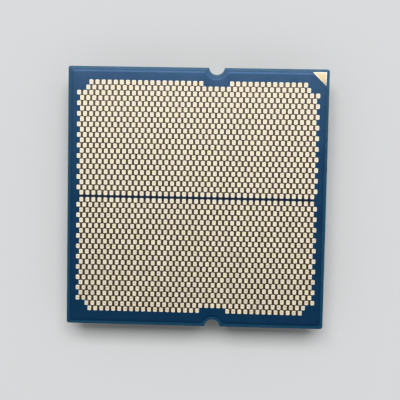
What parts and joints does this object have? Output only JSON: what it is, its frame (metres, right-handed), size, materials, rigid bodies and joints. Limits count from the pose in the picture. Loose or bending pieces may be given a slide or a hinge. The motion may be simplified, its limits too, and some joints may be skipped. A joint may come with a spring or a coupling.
{
  "type": "desktop processor",
  "caption": "Square land-grid processor package: layered substrate with staggered gold contact lands on one face and a stepped, notched metal heat spreader on the other.",
  "frame": {"origin": "centre of the heat spreader's flat plateau, on which the part lies", "axes": "+Z out of the contact side; +Y towards the edge from which the rows of lands are counted; the pin-one corner is the one towards +X and +Y"},
  "size_m": [0.04, 0.04, 0.0047],
  "materials": {
    "glass_fibre_core": "sawn edge",
    "build_up_laminate": "satin",
    "solder_mask": "satin",
    "gold_plate": "satin gold plate",
    "nickel_plate": "satin nickel plate",
    "lid_adhesive": "matt",
    "solder_preform": "satin",
    "underfill": "gloss",
    "silicon": "polished",
    "capacitor": "satin"
  },
  "bodies": {
    "root": {"build_up_land_side": "build_up_laminate", "build_up_lid_side": "build_up_laminate", "capacitor_east_1": "capacitor", "capacitor_east_2": "capacitor", "capacitor_east_3": "capacitor", "capacitor_east_4": "capacitor", "capacitor_east_5": "capacitor", "capacitor_east_6": "capacitor", "capacitor_east_7": "capacitor", "capacitor_east_8": "capacitor", "capacitor_north_1": "capacitor", "capacitor_north_2": "capacitor", "capacitor_north_3": "capacitor", "capacitor_north_4": "capacitor", "capacitor_north_5": "capacitor", "capacitor_north_6": "capacitor", "capacitor_north_7": "capacitor", "capacitor_north_8": "capacitor", "capacitor_south_1": "capacitor", "capacitor_south_2": "capacitor", "capacitor_south_3": "capacitor", "capacitor_south_4": "capacitor", "capacitor_south_5": "capacitor", "capacitor_south_6": "capacitor", "capacitor_south_7": "capacitor", "capacitor_south_8": "capacitor", "capacitor_west_1": "capacitor", "capacitor_west_2": "capacitor", "capacitor_west_3": "capacitor", "capacitor_west_4": "capacitor", "capacitor_west_5": "capacitor", "capacitor_west_6": "capacitor", "capacitor_west_7": "capacitor", "capacitor_west_8": "capacitor", "compute_die_1": "silicon", "compute_die_1_solder_preform": "solder_preform", "compute_die_1_underfill": "underfill", "compute_die_2": "silicon", "compute_die_2_solder_preform": "solder_preform", "compute_die_2_underfill": "underfill", "heat_spreader": "nickel_plate", "io_die": "silicon", "io_die_solder_preform": "solder_preform", "io_die_underfill": "underfill", "land_field_north": "gold_plate", "land_field_south": "gold_plate", "lid_adhesive_east": "lid_adhesive", "lid_adhesive_north": "lid_adhesive", "lid_adhesive_north_east": "lid_adhesive", "lid_adhesive_north_west": "lid_adhesive", "lid_adhesive_south": "lid_adhesive", "lid_adhesive_south_east": "lid_adhesive", "lid_adhesive_south_west": "lid_adhesive", "lid_adhesive_west": "lid_adhesive", "pin_one_mark_land_side": "gold_plate", "pin_one_mark_lid_side": "gold_plate", "solder_mask_land_side": "solder_mask", "solder_mask_lid_side": "solder_mask", "substrate_core": "glass_fibre_core"}
  },
  "joints": []
}
